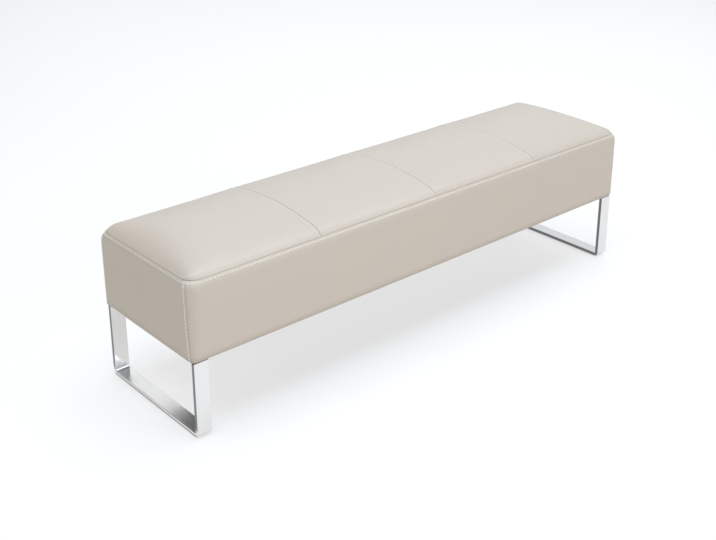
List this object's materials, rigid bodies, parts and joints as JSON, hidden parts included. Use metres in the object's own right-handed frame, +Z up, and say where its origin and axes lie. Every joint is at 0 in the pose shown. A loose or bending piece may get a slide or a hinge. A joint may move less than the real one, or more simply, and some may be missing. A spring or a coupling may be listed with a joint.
{
  "type": "waiting room bench",
  "caption": "Backless upholstered bench seat with a crowned, cross-seamed leatherette top and boxed sides, on a pair of chromed flat-bar sled legs",
  "frame": {"origin": "on the floor under the middle of the seat", "axes": "+X along the seat, -Y the front, +Z up"},
  "size_m": [1.54, 0.4, 0.44],
  "materials": {
    "leatherette": "warm light grey leatherette, fine grain, soft satin sheen",
    "side_foam": "cut polyurethane foam",
    "wadding": "white polyester fibre",
    "seat_foam": "cut polyurethane foam",
    "pine": "planed softwood, unfinished",
    "plywood": "sanded plywood",
    "dust_cloth": "black non-woven cloth",
    "zinc_steel": "zinc plated",
    "chrome": "polished chrome plate",
    "nylon": "moulded dark nylon"
  },
  "bodies": {
    "root": {"top_panel_1": "leatherette", "top_panel_2": "leatherette", "top_panel_3": "leatherette", "top_panel_4": "leatherette", "front_boxing": "leatherette", "back_boxing": "leatherette", "left_end_boxing": "leatherette", "right_end_boxing": "leatherette", "front_pad": "side_foam", "back_pad": "side_foam", "left_end_pad": "side_foam", "right_end_pad": "side_foam", "top_wadding": "wadding", "foam_slab": "seat_foam", "front_rail": "pine", "back_rail": "pine", "left_end_rail": "pine", "right_end_rail": "pine", "cross_rib_1": "pine", "cross_rib_2": "pine", "cross_rib_3": "pine", "left_leg_bearer": "pine", "right_leg_bearer": "pine", "corner_blocks": "pine", "seat_deck": "plywood", "dust_cover": "dust_cloth", "deck_screws": "zinc_steel", "frame_screws": "zinc_steel", "cover_staples": "zinc_steel", "leg_bolts": "zinc_steel", "leg_washers": "zinc_steel", "tee_nuts": "zinc_steel", "left_leg_hoop": "chrome", "right_leg_hoop": "chrome", "left_mounting_plate": "chrome", "right_mounting_plate": "chrome", "front_left_glide": "nylon", "back_left_glide": "nylon", "front_right_glide": "nylon", "back_right_glide": "nylon"}
  },
  "joints": []
}
